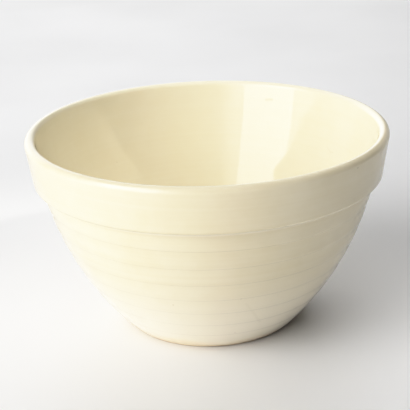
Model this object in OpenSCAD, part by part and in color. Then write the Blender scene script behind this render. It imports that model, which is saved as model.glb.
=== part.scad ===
/* [Rim and collar] */
// Diameter over the widest point of the lip
rim_d = 260; // [240:1:300]
// Height from the table to the top of the lip
bowl_h = 144.5; // [120:0.5:180]
// Thickness of the rolled lip
lip_thick = 7.6; // [6:0.1:9]
// Slope of the inside surface where the lip rolls over into it, from upright
lip_slope = 11; // [8:1:18]
// Height of the collar, from its lower edge to the top of the lip
collar_h = 33.3; // [24:0.1:42]
// How much narrower the collar is at its lower edge than at the lip, on each side
collar_lean = 3.7; // [1:0.1:6]
// How far the lower edge of the collar stands proud of the wall
collar_step = 5.9; // [5.8:0.1:9]
// Rounding of the lower edge of the collar
collar_edge_r = 3.3; // [1.5:0.1:3.4]
// Fillet in the corner under the collar
collar_fillet_r = 2.4; // [0.6:0.1:2.4]

/* [Wall] */
// Diameter at which the outside of the wall would meet the table
foot_d = 127.5; // [110:0.5:150]
// How far the wall swells out of a straight line from foot to collar
wall_belly = 8.8; // [5:0.1:13]
// Thickness of the wall below the collar
wall_thick = 6.6; // [5:0.1:8.5]
// Height, measured down from the top of the lip, over which the inside flares to the lip
flare_h = 68; // [56:1:76]

/* [Turned rings] */
// Distance from one ring to the next, along the wall
ring_pitch = 15; // [11:0.5:20]
// Depth of the small ledge at the highest ring
ring_depth = 0.45; // [0.2:0.05:1]
// Depth of the small ledge at the lowest ring
ring_low_depth = 0.1; // [0.05:0.05:0.8]
// Height of each ledge
ring_ledge_h = 0.8; // [0.5:0.1:2]
// Least height of the plain band below the lowest ring, along the wall
foot_band_h = 16; // [8:0.5:30]

/* [Floor and foot] */
// Thickness of the floor over the recess
floor_thick = 7; // [5:0.1:9]
// Radius of the bend between the wall and the floor, inside
floor_bend_r = 45; // [30:1:60]
// Width of the ring that the bowl stands on
foot_ring_w = 9; // [6:0.1:14]
// Rounding of the edges of the foot ring
foot_edge_r = 1.1; // [0.5:0.1:1.8]
// Depth of the recess inside the foot ring
recess_h = 3; // [2:0.1:4]

/* [Glaze] */
// Thickness of the glaze
glaze_thick = 0.35; // [0.2:0.05:0.5]
// Height above the table at which the outside glaze was wiped off
glaze_line_h = 2.2; // [1.8:0.1:5]
// Bare band between the glaze under the floor and the foot ring
base_bare_w = 2.5; // [1:0.1:5]

/* [Hidden] */
$fn = 180;

clay_colour = "#eedcbf";
glaze_colour = "#f3ecd2";

// Numbers of short straight steps in each stretch of the section
lip_steps = 10;
edge_steps = 5;
band_steps = 2;
ledge_steps = 4;
flare_steps = 10;
wall_steps = 10;
bend_steps = 10;

// Handle lengths of the flare's curve, as shares of the straight line between its ends
flare_share = 0.36;

rim_r = rim_d / 2;
foot_r = foot_d / 2;
lip_r = lip_thick / 2;
lip_mid = [rim_r - lip_r, bowl_h - lip_r];

// Lower edge of the collar: a rounded corner that stands proud of the wall
collar_z = bowl_h - collar_h;
collar_r = rim_r - collar_lean;
edge_mid = [collar_r - collar_edge_r, collar_z + collar_edge_r];
edge_to_lip = lip_mid - edge_mid;
face_slope = atan2(edge_to_lip[0], edge_to_lip[1])
    + asin((lip_r - collar_edge_r) / norm(edge_to_lip));

// The wall is one circular arc, from the foot to the corner under the collar
wall_top = [collar_r - collar_step, collar_z];
wall_foot = [foot_r, 0];
chord = wall_top - wall_foot;
half_chord = norm(chord) / 2;
wall_r = (pow(half_chord, 2) + pow(wall_belly, 2)) / (2 * wall_belly);
out_of_chord = [chord[1], -chord[0]] / norm(chord);
wall_mid = (wall_top + wall_foot) / 2 - (wall_r - wall_belly) * out_of_chord;
inner_r = wall_r - wall_thick;

// Angles on the wall's arc: the corner under the collar, the glaze line and the foot
corner_r = wall_r + collar_fillet_r;
corner_a = asin((collar_z - collar_fillet_r - wall_mid[1]) / corner_r);
corner_mid = wall_mid + corner_r * [cos(corner_a), sin(corner_a)];
top_a = asin((collar_z - wall_mid[1]) / wall_r);
line_a = asin((glaze_line_h - wall_mid[1]) / wall_r);
foot_a = asin(-wall_mid[1] / wall_r);
arc_len = (top_a - foot_a) / 360 * 2 * PI * wall_r;
rings = floor((arc_len - foot_band_h) / ring_pitch);

// Rounded outside edge of the foot ring, tangent to the bare wall and to the table
bare_r = wall_r - glaze_thick;
heel_a = asin((foot_edge_r - wall_mid[1]) / (bare_r - foot_edge_r));
heel_mid = wall_mid + (bare_r - foot_edge_r) * [cos(heel_a), sin(heel_a)];
ring_in_r = heel_mid[0] + foot_edge_r - foot_ring_w;

// Inside: the floor, its bend up into the wall, and the start of the flare
floor_z = recess_h + floor_thick;
bend_a = asin((floor_z + floor_bend_r - wall_mid[1]) / (inner_r - floor_bend_r));
bend_mid = wall_mid + (inner_r - floor_bend_r) * [cos(bend_a), sin(bend_a)];
flare_a = asin((bowl_h - flare_h - wall_mid[1]) / inner_r);
roll_a = 180 - lip_slope;

function on_circle(mid, r, a) = mid + r * [cos(a), sin(a)];
function arc(mid, r, from, to, steps) =
    [for (i = [0:steps]) on_circle(mid, r, from + (to - from) * i / steps)];
function ease(x) = x * x * (3 - 2 * x);
function curve(a, b, c, d, t) =
    pow(1 - t, 3) * a + 3 * t * pow(1 - t, 2) * b + 3 * t * t * (1 - t) * c + pow(t, 3) * d;
function reversed(path) = [for (i = [len(path) - 1:-1:0]) path[i]];

// Depth of the ledge at ring k, shallower towards the foot
function depth_at(k) =
    rings < 2 ? ring_depth
    : ring_depth + (ring_low_depth - ring_depth) * (k - 1) / (rings - 1);

// How far band k stands proud of the arc, s below its top: it grows to the depth of the
// ledge at its foot, and the ledge turns back in to the next band
function proud(k, s) =
    s < ring_pitch - ring_ledge_h
    ? depth_at(k) * s / (ring_pitch - ring_ledge_h)
    : depth_at(k) * (1 - ease((s - ring_pitch + ring_ledge_h) / ring_ledge_h));

function angle_at(s) = top_a - s / (2 * PI * wall_r) * 360;
function wall_point(k, s, inset) =
    on_circle(wall_mid, wall_r - inset + proud(k, s), angle_at((k - 1) * ring_pitch + s));

// One band of the wall and the ledge under it, from the top down
function band(k, inset) =
    let (face_h = ring_pitch - ring_ledge_h)
    concat(
        [for (i = [1:band_steps]) wall_point(k, face_h * i / band_steps, inset)],
        [for (i = [1:ledge_steps]) wall_point(k, face_h + ring_ledge_h * i / ledge_steps, inset)]
    );

// The wall from the corner under the collar down to the angle end_a
function wall_path(inset, end_a) =
    concat(
        [for (k = [1:1:rings]) each band(k, inset)],
        let (from_a = angle_at(rings * ring_pitch))
        [for (i = [1:band_steps])
            on_circle(wall_mid, wall_r - inset, from_a + (end_a - from_a) * i / band_steps)]
    );

// The outside from the top of the lip down to the corner under the collar
function collar_path(inset) =
    concat(
        arc(lip_mid, lip_r - inset, 90, -face_slope, lip_steps),
        arc(edge_mid, collar_edge_r - inset, -face_slope, -90, edge_steps),
        arc(corner_mid, collar_fillet_r + inset, 90, 180 + corner_a, edge_steps)
    );

function outer_path(inset, end_a) = concat(collar_path(inset), wall_path(inset, end_a));

// The inside from the top of the lip down to the middle of the floor
function flare_path(inset) =
    let (
        a = on_circle(lip_mid, lip_r - inset, roll_a),
        d = on_circle(wall_mid, inner_r + inset, flare_a),
        reach = norm(a - d) * flare_share,
        b = a - reach * [sin(lip_slope), cos(lip_slope)],
        c = d + reach * [-sin(flare_a), cos(flare_a)]
    )
    [for (i = [1:flare_steps]) curve(a, b, c, d, i / flare_steps)];

function inner_path(inset) =
    concat(
        arc(lip_mid, lip_r - inset, 90, roll_a, lip_steps),
        flare_path(inset),
        [for (i = [1:wall_steps])
            on_circle(wall_mid, inner_r + inset, flare_a + (bend_a - flare_a) * i / wall_steps)],
        [for (i = [1:bend_steps])
            on_circle(bend_mid, floor_bend_r + inset, bend_a + (-90 - bend_a) * i / bend_steps)],
        [[0, floor_z - inset]]
    );

// The bare underside, from the foot ring's outside edge in to the middle of the recess
function under_path() =
    concat(
        arc(heel_mid, foot_edge_r, heel_a, -90, edge_steps),
        arc([ring_in_r + foot_edge_r, foot_edge_r], foot_edge_r, -90, -180, edge_steps),
        arc([ring_in_r - foot_edge_r, recess_h - foot_edge_r], foot_edge_r, 0, 90, edge_steps),
        [[0, recess_h]]
    );

module clay_body() {
    color(clay_colour)
        rotate_extrude()
            polygon(concat(
                outer_path(glaze_thick, heel_a),
                under_path(),
                reversed(inner_path(glaze_thick))
            ));
}

module inside_glaze() {
    color(glaze_colour)
        rotate_extrude()
            polygon(concat(inner_path(0), reversed(inner_path(glaze_thick))));
}

module outside_glaze() {
    color(glaze_colour)
        rotate_extrude()
            polygon(concat(
                outer_path(0, line_a),
                reversed(outer_path(glaze_thick, line_a))
            ));
}

module base_glaze() {
    base_r = ring_in_r - foot_edge_r - base_bare_w;
    color(glaze_colour)
        rotate_extrude()
            polygon(concat(
                [[0, recess_h]],
                arc([base_r - glaze_thick, recess_h], glaze_thick, 0, -90, edge_steps),
                [[0, recess_h - glaze_thick]]
            ));
}

clay_body();
inside_glaze();
outside_glaze();
base_glaze();
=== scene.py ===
import math

import bpy
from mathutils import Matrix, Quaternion, Vector


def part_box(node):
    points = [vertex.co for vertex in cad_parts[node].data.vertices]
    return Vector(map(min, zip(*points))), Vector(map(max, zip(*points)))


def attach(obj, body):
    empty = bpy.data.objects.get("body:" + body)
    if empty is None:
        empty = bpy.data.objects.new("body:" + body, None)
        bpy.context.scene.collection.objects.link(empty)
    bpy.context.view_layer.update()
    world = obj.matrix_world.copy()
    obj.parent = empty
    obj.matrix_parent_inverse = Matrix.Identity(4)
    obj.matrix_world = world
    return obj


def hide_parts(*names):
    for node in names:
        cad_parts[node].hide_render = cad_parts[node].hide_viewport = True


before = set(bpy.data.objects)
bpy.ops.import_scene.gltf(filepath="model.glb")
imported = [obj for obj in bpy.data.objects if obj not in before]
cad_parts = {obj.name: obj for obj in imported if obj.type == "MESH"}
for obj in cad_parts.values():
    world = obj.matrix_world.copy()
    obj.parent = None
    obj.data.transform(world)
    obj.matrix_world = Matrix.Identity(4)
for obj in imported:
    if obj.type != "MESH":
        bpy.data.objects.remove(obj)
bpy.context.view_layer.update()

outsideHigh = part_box("outside_glaze")[1]
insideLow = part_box("inside_glaze")[0]
baseLow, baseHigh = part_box("base_glaze")
print("frame loaded:", len(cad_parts), "nodes")

# The camera comes first, because the marks in the glaze are placed through it
photo = {"width": 410, "height": 410}
shot = {
    "place": (0, -0.7553, 0.3760),
    "tilt": 0.3693,      # radians down from level
    "pan": -0.0039,
    "roll": -0.0333,
    "lens": 96.4,
    "sensor": 36,
}


def addCamera():
    bpy.ops.object.select_all(action="DESELECT")
    bpy.ops.object.camera_add(location=shot["place"])
    camera = bpy.context.object
    camera.name = "camera"
    camera.data.lens = shot["lens"]
    camera.data.sensor_width = shot["sensor"]
    level = math.cos(shot["tilt"])
    forward = Vector((
        math.sin(shot["pan"]) * level,
        math.cos(shot["pan"]) * level,
        -math.sin(shot["tilt"])))
    camera.rotation_mode = "QUATERNION"
    camera.rotation_quaternion = (
        forward.to_track_quat("-Z", "Y") @ Quaternion((0, 0, 1), shot["roll"]))
    bpy.context.scene.camera = camera
    bpy.context.view_layer.update()
    return camera


camera = addCamera()
print("camera placed")


def polar(mid, radius, angle):
    a = math.radians(angle)
    return Vector((mid.x + radius * math.cos(a), mid.y + radius * math.sin(a)))


def arcOf(mid, radius, start, end, steps):
    return [polar(mid, radius, start + (end - start) * i / steps) for i in range(steps + 1)]


def levelToAxis(radius, height, steps):
    # From just inside the radius to the axis
    return [Vector((radius * i / steps, height)) for i in range(steps - 1, -1, -1)]


def eased(x):
    return x * x * (3 - 2 * x)


def bezier(a, b, c, d, steps):
    points = []
    for i in range(1, steps + 1):
        t = i / steps
        s = 1 - t
        points.append(s ** 3 * a + 3 * s * s * t * b + 3 * s * t * t * c + t ** 3 * d)
    return points


# The bowl's form, in metres and degrees. Its width, height and recess come from the frame.
bowl = {
    "rimRadius": outsideHigh.x,
    "height": outsideHigh.z,
    "lipThick": 0.0076,
    "lipSlope": 11,         # of the inside where the lip rolls over into it, from upright
    "collarHeight": 0.0333,
    "collarLean": 0.0037,   # how much narrower the collar is at its foot
    "collarStep": 0.0059,   # how far it stands out over the wall
    "collarEdge": 0.0033,   # rounding of its lower edge
    "cornerFillet": 0.0024,
    "footRadius": 0.06375,
    "belly": 0.0088,
    "wallThick": 0.0066,
    "flareHeight": 0.068,
    "flareShare": 0.36,
    "floorTop": insideLow.z,
    "floorBend": 0.045,
    "recess": baseHigh.z,
    "footRing": 0.009,
    "footEdge": 0.0011,
    "lipSteps": 32,         # straight steps in each stretch of the section
    "edgeSteps": 16,
    "cornerSteps": 8,
    "innerLipSteps": 36,
    "innerSteps": 20,
    "floorSteps": 6,
    "footSteps": 10,
    "around": 256,          # and once round
}

# Centres and angles that all the sections share: x is the radius, y the height
lipRadius = bowl["lipThick"] / 2
lipMid = Vector((bowl["rimRadius"] - lipRadius, bowl["height"] - lipRadius))
collarFoot = bowl["height"] - bowl["collarHeight"]
collarRadius = bowl["rimRadius"] - bowl["collarLean"]
edgeMid = Vector((collarRadius - bowl["collarEdge"], collarFoot + bowl["collarEdge"]))
edgeToLip = lipMid - edgeMid
faceSlope = math.degrees(
    math.atan2(edgeToLip.x, edgeToLip.y)
    + math.asin((lipRadius - bowl["collarEdge"]) / edgeToLip.length))

# The wall is one arc from the foot up to the corner under the collar
wallTop = Vector((collarRadius - bowl["collarStep"], collarFoot))
wallFoot = Vector((bowl["footRadius"], 0))
chord = wallTop - wallFoot
wallRadius = ((chord.length / 2) ** 2 + bowl["belly"] ** 2) / (2 * bowl["belly"])
outward = Vector((chord.y, -chord.x)).normalized()
wallMid = (wallTop + wallFoot) / 2 - (wallRadius - bowl["belly"]) * outward
insideRadius = wallRadius - bowl["wallThick"]


def angleAt(height, radius=wallRadius):
    return math.degrees(math.asin((height - wallMid.y) / radius))


cornerRadius = wallRadius + bowl["cornerFillet"]
cornerAngle = angleAt(collarFoot - bowl["cornerFillet"], cornerRadius)
cornerMid = polar(wallMid, cornerRadius, cornerAngle)
topAngle = angleAt(collarFoot)

bendRadius = insideRadius - bowl["floorBend"]
bendAngle = angleAt(bowl["floorTop"] + bowl["floorBend"], bendRadius)
bendMid = polar(wallMid, bendRadius, bendAngle)
flareAngle = angleAt(bowl["height"] - bowl["flareHeight"], insideRadius)

# Turned rings: each band grows out to the depth of the ledge at its foot
rings = {
    "pitch": 0.015,
    "depth": 0.00045,       # of the ledge at the highest ring
    "lowDepth": 0.0001,     # and at the lowest
    "ledge": 0.0008,        # its height along the wall
    "plainBand": 0.016,     # least height of the band below the lowest ring
    "faceSteps": 3,
    "ledgeSteps": 7,
    "plainSteps": 6,
}
ringCount = math.floor(
    (math.radians(topAngle - angleAt(0)) * wallRadius - rings["plainBand"]) / rings["pitch"])


def wallAngle(along):
    return topAngle - math.degrees(along / wallRadius)


def ringPoint(k, s, inset):
    depth = rings["depth"] + (rings["lowDepth"] - rings["depth"]) * (k - 1) / (ringCount - 1)
    face = rings["pitch"] - rings["ledge"]
    out = depth * s / face if s < face else depth * (1 - eased((s - face) / rings["ledge"]))
    return polar(wallMid, wallRadius - inset + out, wallAngle((k - 1) * rings["pitch"] + s))


def outsidePath(inset, endAngle):
    face = rings["pitch"] - rings["ledge"]
    points = arcOf(lipMid, lipRadius - inset, 90, -faceSlope, bowl["lipSteps"])
    points += arcOf(edgeMid, bowl["collarEdge"] - inset, -faceSlope, -90, bowl["edgeSteps"])
    points += arcOf(
        cornerMid, bowl["cornerFillet"] + inset, 90, 180 + cornerAngle, bowl["cornerSteps"])
    for k in range(1, ringCount + 1):
        for i in range(1, rings["faceSteps"] + 1):
            points.append(ringPoint(k, face * i / rings["faceSteps"], inset))
        for i in range(1, rings["ledgeSteps"] + 1):
            points.append(ringPoint(k, face + rings["ledge"] * i / rings["ledgeSteps"], inset))
    start = wallAngle(ringCount * rings["pitch"])
    points += arcOf(wallMid, wallRadius - inset, start, endAngle, rings["plainSteps"])[1:]
    return points


def insidePath(inset):
    roll = 180 - bowl["lipSlope"]
    slope = math.radians(bowl["lipSlope"])
    flare = math.radians(flareAngle)
    a = polar(lipMid, lipRadius - inset, roll)
    d = polar(wallMid, insideRadius + inset, flareAngle)
    reach = (a - d).length * bowl["flareShare"]
    b = a - reach * Vector((math.sin(slope), math.cos(slope)))
    c = d + reach * Vector((-math.sin(flare), math.cos(flare)))
    steps = bowl["innerSteps"]
    points = arcOf(lipMid, lipRadius - inset, 90, roll, bowl["innerLipSteps"])
    points += bezier(a, b, c, d, steps)
    points += arcOf(wallMid, insideRadius + inset, flareAngle, bendAngle, steps)[1:]
    points += arcOf(bendMid, bowl["floorBend"] + inset, bendAngle, -90, steps)[1:]
    points += levelToAxis(bendMid.x, bowl["floorTop"] - inset, bowl["floorSteps"])
    return points


weld = {"outline": 1e-7, "turned": 1e-6}    # points nearer than this become one


def turnedPiece(name, outline):
    # A point is drawn along the outline, edge by edge, and the line is swept round the axis
    bpy.ops.object.select_all(action="DESELECT")
    bpy.ops.mesh.primitive_plane_add(size=lipRadius, location=(outline[0].x, 0, outline[0].y))
    piece = bpy.context.object
    piece.name = piece.data.name = name
    bpy.ops.object.transform_apply(location=True, rotation=True, scale=True)
    bpy.ops.object.mode_set(mode="EDIT")
    bpy.ops.mesh.select_all(action="SELECT")
    bpy.ops.mesh.merge(type="CENTER")
    for here, there in zip(outline, outline[1:] + outline[:1]):
        step = there - here
        bpy.ops.mesh.extrude_vertices_move(TRANSFORM_OT_translate={"value": (step.x, 0, step.y)})
    bpy.ops.mesh.select_all(action="SELECT")
    bpy.ops.mesh.remove_doubles(threshold=weld["outline"])
    bpy.ops.object.mode_set(mode="OBJECT")
    turn = piece.modifiers.new("turn", "SCREW")
    turn.axis = "Z"
    turn.angle = 2 * math.pi
    turn.steps = turn.render_steps = bowl["around"]
    turn.use_merge_vertices = True
    turn.merge_threshold = weld["turned"]
    bpy.ops.object.modifier_apply(modifier="turn")
    bpy.ops.object.mode_set(mode="EDIT")
    bpy.ops.mesh.select_all(action="SELECT")
    bpy.ops.mesh.remove_doubles(threshold=weld["turned"])
    bpy.ops.mesh.normals_make_consistent(inside=False)
    bpy.ops.object.mode_set(mode="OBJECT")
    print(name, "turned:", len(piece.data.polygons), "faces")
    return piece


# The coats of glaze, and the line near the foot where the outside one was wiped off
coat = {
    "thick": 0.00035,
    "line": 0.0022,
    "edgeSteps": 5,
    "waver": 0.0005,        # how far the wiped line strays up and down
    "waverFade": 0.012,     # height over which that dies out up the wall
    "waves": [(3, 0.8, 1), (7, 2.1, 0.6), (16, 4.0, 0.4)],    # times round, start, share
}


def outsideCoatOutline():
    # The lower edge rolls in to the clay
    thick = coat["thick"]
    endAngle = angleAt(coat["line"])
    roll = thick / wallRadius
    outer = outsidePath(0, endAngle + math.degrees(roll))
    edge = []
    for i in range(1, coat["edgeSteps"] + 1):
        turn = math.pi / 2 * i / coat["edgeSteps"]
        angle = endAngle + math.degrees(roll * (1 - math.sin(turn)))
        edge.append(polar(wallMid, wallRadius - thick + thick * math.cos(turn), angle))
    return outer + edge + outsidePath(thick, endAngle)[-2::-1]


outsideCoat = turnedPiece("outside_coat", outsideCoatOutline())
insideCoat = turnedPiece("inside_coat", insidePath(0) + insidePath(coat["thick"])[::-1])


def strayAt(turn):
    waves = [part * math.sin(times * turn + start) for times, start, part in coat["waves"]]
    return sum(waves) / 2


def waverLine(piece):
    # A finger's width of the coat's lower end slides a little up and down along the wall
    for vertex in piece.data.vertices:
        height = vertex.co.z - coat["line"]
        if height < coat["waverFade"]:
            share = 1 - eased(max(height, 0) / coat["waverFade"])
            turn = math.atan2(vertex.co.y, vertex.co.x)
            here = Vector((math.hypot(vertex.co.x, vertex.co.y), vertex.co.z))
            bend = coat["waver"] * strayAt(turn) * share / wallRadius
            arm = here - wallMid
            moved = wallMid + Vector((
                arm.x * math.cos(bend) - arm.y * math.sin(bend),
                arm.x * math.sin(bend) + arm.y * math.cos(bend)))
            vertex.co = (moved.x * math.cos(turn), moved.x * math.sin(turn), moved.y)


waverLine(outsideCoat)

# The fired clay: the wall under the glaze, the bare foot ring and the recess inside it
heelRadius = wallRadius - coat["thick"] - bowl["footEdge"]
heelAngle = angleAt(bowl["footEdge"], heelRadius)
heelMid = polar(wallMid, heelRadius, heelAngle)
ringInside = heelMid.x + bowl["footEdge"] - bowl["footRing"]


def underPath():
    e = bowl["footEdge"]
    steps = bowl["footSteps"]
    points = arcOf(heelMid, e, heelAngle, -90, steps)
    points += arcOf(Vector((ringInside + e, e)), e, -90, -180, steps)
    points += arcOf(Vector((ringInside - e, bowl["recess"] - e)), e, 0, 90, steps)
    points += levelToAxis(ringInside - e, bowl["recess"], bowl["floorSteps"])
    return points


firedBody = turnedPiece(
    "fired_body",
    outsidePath(coat["thick"], heelAngle) + underPath() + insidePath(coat["thick"])[::-1])

# A round patch of glaze under the floor, with a soft edge
patch = {"steps": 8, "edgeSteps": 6}


def baseOutline():
    thick = baseHigh.z - baseLow.z
    points = levelToAxis(baseHigh.x, baseLow.z, patch["steps"])[::-1]
    points += arcOf(
        Vector((baseHigh.x - thick, baseHigh.z)), thick, -90, 0, patch["edgeSteps"])
    points += [Vector((0, baseHigh.z))]
    return points


baseCoat = turnedPiece("base_coat", baseOutline())
pieces = [outsideCoat, insideCoat, firedBody, baseCoat]

# A thrown bowl is never quite true: the same slow wander moves every piece together
wander = {
    "strength": 0.0002,
    "size": 0.09,
    "crease": 50,       # degrees, past which an edge stays sharp
}


def wanderAlong(piece, direction, texture):
    push = piece.modifiers.new("wander", "DISPLACE")
    push.texture = texture
    push.texture_coords = "LOCAL"
    push.direction = direction
    push.strength = wander["strength"]
    push.mid_level = 0.5
    bpy.ops.object.modifier_apply(modifier="wander")


wanderTextures = {}
for direction, basis in (("X", "ORIGINAL_PERLIN"), ("Y", "IMPROVED_PERLIN")):
    texture = bpy.data.textures.new("wander" + direction, "CLOUDS")
    texture.noise_scale = wander["size"]
    texture.noise_basis = basis
    texture.noise_depth = 1
    wanderTextures[direction] = texture

for piece in pieces:
    bpy.ops.object.select_all(action="DESELECT")
    piece.select_set(True)
    bpy.context.view_layer.objects.active = piece
    for direction, texture in wanderTextures.items():
        wanderAlong(piece, direction, texture)
    bpy.ops.object.shade_smooth_by_angle(angle=math.radians(wander["crease"]))
print("bowl set slightly out of true")


# Small things that material nodes share
def newMaterial(name):
    material = bpy.data.materials.new(name)
    material.use_nodes = True
    return material, material.node_tree.nodes, material.node_tree.links


def feed(links, socket, value):
    # A socket takes either a fixed value or another node's output
    if isinstance(value, bpy.types.NodeSocket):
        links.new(value, socket)
    else:
        socket.default_value = value


def mathNode(nodes, links, operation, a, b, clamp=False):
    node = nodes.new("ShaderNodeMath")
    node.operation = operation
    node.use_clamp = clamp
    feed(links, node.inputs[0], a)
    feed(links, node.inputs[1], b)
    return node.outputs[0]


def held(nodes, links, value):
    # Kept between 0 and 1
    return mathNode(nodes, links, "ADD", value, 0.0, clamp=True)


def vectorNode(nodes, links, operation, a, b=(0, 0, 0), scale=1.0):
    node = nodes.new("ShaderNodeVectorMath")
    node.operation = operation
    feed(links, node.inputs[0], a)
    feed(links, node.inputs[1], b)
    if operation == "SCALE":
        feed(links, node.inputs["Scale"], scale)
    return node.outputs["Value" if operation in ("DOT_PRODUCT", "LENGTH") else "Vector"]


def ranged(nodes, links, value, low, high, toLow=0.0, toHigh=1.0):
    node = nodes.new("ShaderNodeMapRange")
    node.interpolation_type = "SMOOTHSTEP"
    feed(links, node.inputs["Value"], value)
    node.inputs["From Min"].default_value = low
    node.inputs["From Max"].default_value = high
    node.inputs["To Min"].default_value = toLow
    node.inputs["To Max"].default_value = toHigh
    return node.outputs["Result"]


def noiseOf(nodes, links, where, scale, detail, rough=0.5):
    node = nodes.new("ShaderNodeTexNoise")
    node.inputs["Scale"].default_value = scale
    node.inputs["Detail"].default_value = detail
    node.inputs["Roughness"].default_value = rough
    links.new(where, node.inputs["Vector"])
    return node.outputs["Fac"]


noiseSpan = (0.3, 0.7)      # nearly all of a noise's values lie between these


def spread(nodes, links, noise, toLow=0.0, toHigh=1.0):
    return ranged(nodes, links, noise, *noiseSpan, toLow, toHigh)


def cellsOf(nodes, links, where, scale):
    node = nodes.new("ShaderNodeTexVoronoi")
    node.inputs["Scale"].default_value = scale
    links.new(where, node.inputs["Vector"])
    return node.outputs


def objectSpace(nodes):
    return nodes.new("ShaderNodeTexCoord").outputs["Object"]


def axesOf(nodes, links, where):
    node = nodes.new("ShaderNodeSeparateXYZ")
    links.new(where, node.inputs[0])
    return node.outputs


def mixed(nodes, links, amount, a, b):
    node = nodes.new("ShaderNodeMix")
    node.data_type = "RGBA"
    feed(links, node.inputs["Factor"], amount)
    feed(links, node.inputs["A"], a)
    feed(links, node.inputs["B"], b)
    return node.outputs["Result"]


def bumped(nodes, links, height, bump, under=None, share=1.0):
    node = nodes.new("ShaderNodeBump")
    node.inputs["Distance"].default_value = bump[0]
    node.inputs["Strength"].default_value = bump[1] * share
    links.new(height, node.inputs["Height"])
    if under:
        links.new(under, node.inputs["Normal"])
    return node.outputs["Normal"]


# Marks in the glaze, at the pixels of the photograph where they show
marks = {
    "outside_coat": [
        {"at": (173, 305), "radius": 0.0007, "dark": 0.32},
        {"at": (241, 299), "radius": 0.0009, "dark": 0.22},
        {"at": (235, 333), "radius": 0.0008, "dark": 0.20},
        {"at": (358, 168), "radius": 0.0007, "dark": 0.40},
        {"at": (246, 304), "to": (253, 312), "radius": 0.0010, "dark": 0.05},
        {"at": (253, 312), "to": (260, 322), "radius": 0.0012, "dark": 0.06},
    ],
    "inside_coat": [
        {"at": (266, 100), "to": (272, 100), "radius": 0.0011, "dark": 0.16},
        {"at": (327, 147), "to": (330, 152), "radius": 0.0006, "dark": 0.08},
        {"at": (330, 152), "to": (333, 153), "radius": 0.0006, "dark": 0.08},
    ],
}
markEdge = (0.4, 1.3)       # each fades out between these shares of its radius


def pointSeen(piece, pixel):
    # Where the line of sight through a pixel meets the piece
    wide = shot["sensor"] / shot["lens"]
    along = Vector((
        (pixel[0] / photo["width"] - 0.5) * wide,
        (0.5 - pixel[1] / photo["height"]) * wide * photo["height"] / photo["width"],
        -1))
    direction = (camera.matrix_world.to_quaternion() @ along).normalized()
    hit, place = piece.ray_cast(Vector(shot["place"]), direction)[:2]
    return place if hit else None


def nearLine(nodes, links, where, start, end, radius):
    # 1 on the short line from start to end, falling to 0 round it
    line = end - start
    offset = vectorNode(nodes, links, "SUBTRACT", where, start)
    if line.length > 0:
        share = vectorNode(nodes, links, "DOT_PRODUCT", offset, line / line.length_squared)
        foot = vectorNode(nodes, links, "SCALE", line, scale=held(nodes, links, share))
        offset = vectorNode(nodes, links, "SUBTRACT", offset, foot)
    away = vectorNode(nodes, links, "LENGTH", offset)
    return ranged(nodes, links, away, radius * markEdge[0], radius * markEdge[1], 1.0, 0.0)


def marksOn(piece, nodes, links, where):
    total = 0.0
    for mark in marks.get(piece.name, []):
        start = pointSeen(piece, mark["at"])
        end = pointSeen(piece, mark.get("to", mark["at"]))
        if start and end:
            spot = nearLine(nodes, links, where, start, end, mark["radius"])
            dark = mathNode(nodes, links, "MULTIPLY", spot, mark["dark"])
            total = mathNode(nodes, links, "MAXIMUM", dark, total)
    return total


# The cream glaze: a gloss coat, paler where it runs thin and deeper where it pools
glaze = {
    "gloss": 1.5,               # refractive index
    "roughLow": 0.03,
    "roughHigh": 0.06,
    "calmInside": 0.4,          # share of the roughness and bumps that the inside keeps
    "broad": (13, 3),           # scale and detail: clouds about 80 mm across
    "fine": (90, 2),
    "swell": (45, 1),
    "peel": (330, 1),
    "turned": (1, 2),           # faint lines left by the turning tool
    "turnedStretch": (6, 6, 420),
    "pool": (0.46, 0.54),
    "poolWeight": 0.04,         # how far each pattern sways the mix of thin and thick
    "broadWeight": 0.35,
    "fineWeight": 0.12,
    "turnedWeight": 0.14,
    # colour of the painted light on the lower wall and in the corner under the collar
    "paintedLight": (0.94, 0.865, 0.71, 1),
    "bounceLightShare": 0.95,
    "bounceLightFrom": 0.085,          # height at which the painted light of the floor's bounce starts, growing towards the foot
    "bounceLightTo": 0.012,
    "cornerLightBand": 0.0032,       # painted light too, in the corner under the collar where its shade falls
    "cornerLightSoft": 0.001,
    "ragged": 0.003,            # how far the two tints below stray up and down
    "peach": (0.93, 0.77, 0.54, 1),
    "peachShare": 0.75,
    "peachTop": 0.010,
    "paintedShade": (0.26, 0.18, 0.09, 1),     # painted shade: brown in the lowest edge of the coat
    "paintedShadeShare": 0.9,
    "paintedShadeStart": 0.001,        # below the wiped line
    "paintedShadeTop": 0.0044,
    "paintedShadeSide": (0.005, 0.04),         # it sets in to the right of the middle, where the shade is deepest
    "olive": (0.42, 0.34, 0.17, 1),
    "speckScale": 55,
    "speckRare": 0.94,          # the share of places that stay clear
    "speckSize": (0.015, 0.04),
    "speckDark": 0.22,
    "swellBump": (0.0004, 0.10),        # depth in metres, and strength
    "turnedBump": (0.0001, 0.15),
    "peelBump": (0.0001, 0.12),
    "dentBump": (0.0006, 0.5),
}
# The inside's tones are lighter and less yellow than the outside's: painted light for the cooler
# light that fills the inside
glazeTones = {
    "outside_coat": {"thin": (0.875, 0.79, 0.59, 1), "thick": (0.825, 0.73, 0.51, 1)},
    "inside_coat": {"thin": (0.86, 0.80, 0.625, 1), "thick": (0.84, 0.77, 0.58, 1)},
    "base_coat": {"thin": (0.86, 0.78, 0.58, 1), "thick": (0.80, 0.70, 0.47, 1)},
}


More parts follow.
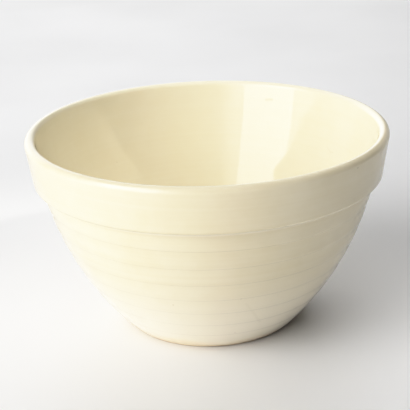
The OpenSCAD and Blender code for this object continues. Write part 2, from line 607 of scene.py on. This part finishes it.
def glazeFor(piece):
    tones = glazeTones[piece.name]
    material, nodes, links = newMaterial("creamGlaze_" + piece.name)
    shader = nodes["Principled BSDF"]
    where = objectSpace(nodes)

    broad = noiseOf(nodes, links, where, *glaze["broad"])
    fine = noiseOf(nodes, links, where, *glaze["fine"])
    stretch = nodes.new("ShaderNodeMapping")
    stretch.inputs["Scale"].default_value = glaze["turnedStretch"]
    links.new(where, stretch.inputs["Vector"])
    turned = noiseOf(nodes, links, stretch.outputs[0], *glaze["turned"])

    # Pooling follows the form: hollow corners hold more glaze than edges do
    pointed = nodes.new("ShaderNodeNewGeometry").outputs["Pointiness"]
    sway = glaze["poolWeight"]
    pool = ranged(nodes, links, pointed, *glaze["pool"], sway, -sway)
    amount = mathNode(nodes, links, "ADD", pool, 0.5)
    patterns = {"broadWeight": broad, "fineWeight": fine, "turnedWeight": turned}
    for weight, pattern in patterns.items():
        part = spread(nodes, links, pattern, -glaze[weight], glaze[weight])
        amount = mathNode(nodes, links, "ADD", amount, part)
    colour = mixed(nodes, links, held(nodes, links, amount), tones["thin"], tones["thick"])

    if piece == outsideCoat:
        # Painted light: the lower wall is painted paler for the floor's bounce, and the corner
        # under the collar is painted paler against its shade
        axes = axesOf(nodes, links, where)
        up = axes["Z"]
        paintedLight = ranged(nodes, links, up, glaze["bounceLightTo"], glaze["bounceLightFrom"], glaze["bounceLightShare"], 0.0)
        soft = glaze["cornerLightSoft"]
        cornerLight = ranged(nodes, links, up, collarFoot - glaze["cornerLightBand"], collarFoot - soft)
        above = ranged(nodes, links, up, collarFoot, collarFoot + soft, 1.0, 0.0)
        cornerLight = mathNode(nodes, links, "MULTIPLY", cornerLight, above)
        paintedLight = mathNode(nodes, links, "MAXIMUM", paintedLight, cornerLight)
        colour = mixed(nodes, links, paintedLight, colour, glaze["paintedLight"])

        # Right above the foot the warm clay shows through. Brown painted shade lies in the coat's
        # lowest edge on the right
        ragged = spread(nodes, links, broad, -glaze["ragged"], glaze["ragged"])
        height = mathNode(nodes, links, "ADD", up, ragged)
        peach = ranged(
            nodes, links, height, coat["line"], glaze["peachTop"], glaze["peachShare"], 0.0)
        colour = mixed(nodes, links, peach, colour, glaze["peach"])
        start = coat["line"] - glaze["paintedShadeStart"]
        paintedShade = ranged(nodes, links, height, start, glaze["paintedShadeTop"], glaze["paintedShadeShare"], 0.0)
        shadedSide = ranged(nodes, links, axes["X"], *glaze["paintedShadeSide"])
        paintedShade = mathNode(nodes, links, "MULTIPLY", paintedShade, shadedSide)
        colour = mixed(nodes, links, paintedShade, colour, glaze["paintedShade"])

    # A few small dark specks, then the marks that the photograph shows
    cells = cellsOf(nodes, links, where, glaze["speckScale"])
    chosen = nodes.new("ShaderNodeSeparateColor")
    links.new(cells["Color"], chosen.inputs[0])
    rare = mathNode(nodes, links, "GREATER_THAN", chosen.outputs[0], glaze["speckRare"])
    speck = ranged(nodes, links, cells["Distance"], *glaze["speckSize"], glaze["speckDark"], 0.0)
    speck = mathNode(nodes, links, "MULTIPLY", speck, rare)
    spots = mathNode(nodes, links, "MAXIMUM", speck, marksOn(piece, nodes, links, where))
    colour = mixed(nodes, links, spots, colour, glaze["olive"])
    links.new(colour, shader.inputs["Base Color"])

    # Sheltered from the turning marks, the inside is the calmer mirror of the two
    calm = glaze["calmInside"] if piece == insideCoat else 1.0
    rough = spread(nodes, links, broad, glaze["roughLow"], glaze["roughHigh"] * calm)
    links.new(rough, shader.inputs["Roughness"])
    shader.inputs["IOR"].default_value = glaze["gloss"]

    peel = noiseOf(nodes, links, where, *glaze["peel"])
    swell = noiseOf(nodes, links, where, *glaze["swell"])
    dent = mathNode(nodes, links, "MULTIPLY", spots, -1.0)
    normal = bumped(nodes, links, swell, glaze["swellBump"])
    normal = bumped(nodes, links, turned, glaze["turnedBump"], normal, calm)
    normal = bumped(nodes, links, peel, glaze["peelBump"], normal, calm)
    normal = bumped(nodes, links, dent, glaze["dentBump"], normal)
    links.new(normal, shader.inputs["Normal"])
    return material


# The bare clay: pale peach, matt and sandy
clay = {
    "light": (0.88, 0.76, 0.56, 1),
    "deep": (0.80, 0.65, 0.44, 1),
    "clouds": (30, 4, 0.6),             # scale, detail and how strong the detail is
    "sand": (900, 2, 0.6),
    "grit": (0.52, 0.38, 0.24, 1),
    "gritScale": 450,
    "gritShare": 0.55,
    "gritSize": (0.08, 0.22),
    "contactShadow": (0.27, 0.18, 0.09, 1),      # painted contact shadow in the edge that stands on the table
    "contactShadowHeight": (0.0004, 0.0019),
    "contactShadowSide": (-0.02, 0.035),         # it lies darker on the right of the bowl, where the shade is deepest
    "contactShadowShare": (0.3, 0.95),
    "rough": 0.82,
    "cloudBump": (0.0005, 0.3),
    "sandBump": (0.0002, 0.6),
}


def bareClay():
    material, nodes, links = newMaterial("bareClay")
    shader = nodes["Principled BSDF"]
    where = objectSpace(nodes)
    clouds = noiseOf(nodes, links, where, *clay["clouds"])
    sand = noiseOf(nodes, links, where, *clay["sand"])
    colour = mixed(nodes, links, spread(nodes, links, clouds), clay["light"], clay["deep"])
    cells = cellsOf(nodes, links, where, clay["gritScale"])
    grit = ranged(nodes, links, cells["Distance"], *clay["gritSize"], clay["gritShare"], 0.0)
    colour = mixed(nodes, links, grit, colour, clay["grit"])
    axes = axesOf(nodes, links, where)
    # Painted contact shadow along the edge that stands on the table, darker on the right
    contactShadow = ranged(nodes, links, axes["Z"], *clay["contactShadowHeight"], 1.0, 0.0)
    shadedSide = ranged(nodes, links, axes["X"], *clay["contactShadowSide"], *clay["contactShadowShare"])
    contactShadow = mathNode(nodes, links, "MULTIPLY", contactShadow, shadedSide)
    colour = mixed(nodes, links, contactShadow, colour, clay["contactShadow"])
    links.new(colour, shader.inputs["Base Color"])
    shader.inputs["Roughness"].default_value = clay["rough"]
    normal = bumped(nodes, links, clouds, clay["cloudBump"])
    normal = bumped(nodes, links, sand, clay["sandBump"], normal)
    links.new(normal, shader.inputs["Normal"])
    return material


finishes = [
    (outsideCoat, "outside_glaze", "cream_glaze"),
    (insideCoat, "inside_glaze", "cream_glaze"),
    (baseCoat, "base_glaze", "cream_glaze"),
    (firedBody, "clay_body", "fired_clay"),
]
for piece, node, finish in finishes:
    piece.data.materials.clear()
    piece.data.materials.append(bareClay() if piece == firedBody else glazeFor(piece))
    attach(piece, "root")
    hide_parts(node)
print("bowl finished in glaze and bare clay")

# The pale floor
floorLook = {
    "size": 12,
    "light": (0.90, 0.90, 0.905, 1),
    "deep": (0.87, 0.87, 0.875, 1),
    "roughLow": 0.40,
    "roughHigh": 0.50,
    "clouds": (3, 3),
    "grain": (500, 2),
    "grainBump": (0.0002, 0.2),
}


def addFloor():
    bpy.ops.object.select_all(action="DESELECT")
    bpy.ops.mesh.primitive_plane_add(size=floorLook["size"], location=(0, 0, 0))
    floor = bpy.context.object
    floor.name = "floor"
    material, nodes, links = newMaterial("paleFloor")
    shader = nodes["Principled BSDF"]
    where = objectSpace(nodes)
    clouds = noiseOf(nodes, links, where, *floorLook["clouds"])
    grain = noiseOf(nodes, links, where, *floorLook["grain"])
    shade = spread(nodes, links, clouds)
    colour = mixed(nodes, links, shade, floorLook["light"], floorLook["deep"])
    links.new(colour, shader.inputs["Base Color"])
    rough = spread(nodes, links, clouds, floorLook["roughLow"], floorLook["roughHigh"])
    links.new(rough, shader.inputs["Roughness"])
    links.new(bumped(nodes, links, grain, floorLook["grainBump"]), shader.inputs["Normal"])
    floor.data.materials.append(material)


addFloor()

# Soft light: two broad glows from the left, three behind the bowl and one nearly overhead.
# Azimuths are from the camera's side, to the right. Angles are in degrees, and radiances
# are against a white of 1. Each glow is full within inner and gone at outer.
glows = [
    {"azimuth": -50.5, "elevation": 12.8, "outer": 42, "inner": 26, "radiance": 2.02},
    {"azimuth": -62, "elevation": 42, "outer": 24, "inner": 0, "radiance": 3.9},
    {"azimuth": -161, "elevation": 10, "outer": 42, "inner": 0, "radiance": 2.2},
    {"azimuth": 172, "elevation": 58, "outer": 29, "inner": 8, "radiance": 1.45},
    {"azimuth": 142, "elevation": 7.5, "outer": 23, "inner": 8, "radiance": 0.65},
    {"azimuth": -15, "elevation": 76, "outer": 26, "inner": 0, "radiance": 1.45},
]
seenPastFloor = 0.83        # how bright it is to the camera past the edge of the floor
window = {"azimuth": -48, "elevation": 20.5, "wide": 38, "high": 40, "distance": 2.2,
          "radiance": 2.75}
# A narrow warm lamp that reaches over the lip to the inside on the left
insideLamp = {"from": (0.60, -0.36, 0.90), "at": (-0.055, 0.06, 0.09), "cone": 14.5,
              "blend": 1, "radius": 0.05, "power": 24, "colour": (1, 0.96, 0.84)}


def towards(azimuth, elevation):
    a, e = math.radians(azimuth), math.radians(elevation)
    return Vector((math.sin(a) * math.cos(e), -math.cos(a) * math.cos(e), math.sin(e)))


def softLobe(nodes, links, sight, lobe):
    facing = vectorNode(
        nodes, links, "DOT_PRODUCT", sight, towards(lobe["azimuth"], lobe["elevation"]))
    outer = math.cos(math.radians(lobe["outer"]))
    inner = math.cos(math.radians(lobe["inner"]))
    return ranged(nodes, links, facing, outer, inner)


def addSoftLight():
    world = bpy.data.worlds.new("studio")
    bpy.context.scene.world = world
    world.use_nodes = True
    nodes, links = world.node_tree.nodes, world.node_tree.links
    sight = nodes.new("ShaderNodeTexCoord").outputs["Generated"]
    total = 0.0
    for glow in glows:
        lobe = softLobe(nodes, links, sight, glow)
        lobe = mathNode(nodes, links, "MULTIPLY", lobe, glow["radiance"])
        total = mathNode(nodes, links, "ADD", lobe, total)
    direct = nodes.new("ShaderNodeLightPath").outputs["Is Camera Ray"]
    change = mathNode(nodes, links, "SUBTRACT", seenPastFloor, total)
    change = mathNode(nodes, links, "MULTIPLY", change, direct)
    background = nodes["Background"]
    links.new(mathNode(nodes, links, "ADD", total, change), background.inputs["Strength"])
    background.inputs["Color"].default_value = (1, 1, 1, 1)


def newLight(name, kind, place, target):
    bpy.ops.object.light_add(type=kind, location=place)
    lamp = bpy.context.object
    lamp.name = name
    lamp.rotation_mode = "QUATERNION"
    lamp.rotation_quaternion = (target - place).to_track_quat("-Z", "Y")
    lamp.visible_camera = False
    return lamp


def addPanel(name, look):
    place = look["distance"] * towards(look["azimuth"], look["elevation"])
    lamp = newLight(name, "AREA", place, Vector((0, 0, 0)))
    lamp.data.shape = "RECTANGLE"
    lamp.data.size = 2 * look["distance"] * math.tan(math.radians(look["wide"] / 2))
    lamp.data.size_y = 2 * look["distance"] * math.tan(math.radians(look["high"] / 2))
    lamp.data.energy = look["radiance"] * math.pi * lamp.data.size * lamp.data.size_y


def addLamp(name, look):
    lamp = newLight(name, "SPOT", Vector(look["from"]), Vector(look["at"]))
    lamp.data.energy = look["power"]
    lamp.data.color = look["colour"]
    lamp.data.spot_size = math.radians(look["cone"])
    lamp.data.spot_blend = look["blend"]
    lamp.data.shadow_soft_size = look["radius"]
    lamp.visible_glossy = False     # no glint of it in the glaze


addSoftLight()
addPanel("windowPanel", window)
addLamp("innerLamp", insideLamp)

# Bright tones roll off gently to white
toneCurve = {
    "white": 1.35,
    "points": [(0.15, 0.138), (0.3, 0.272), (0.5, 0.463), (0.70, 0.655), (0.81, 0.76),
               (0.92, 0.845), (1.08, 0.935), (1.2, 0.975)],
}


def setTone():
    settings = bpy.context.scene.view_settings
    settings.view_transform = "Standard"
    settings.use_curve_mapping = True
    mapping = settings.curve_mapping
    mapping.white_level = (toneCurve["white"],) * 3
    curve = mapping.curves[3]       # the one for all three colours
    for scene, shown in toneCurve["points"]:
        curve.points.new(scene / toneCurve["white"], shown)
    mapping.update()


setTone()
print("floor, light and tone set")
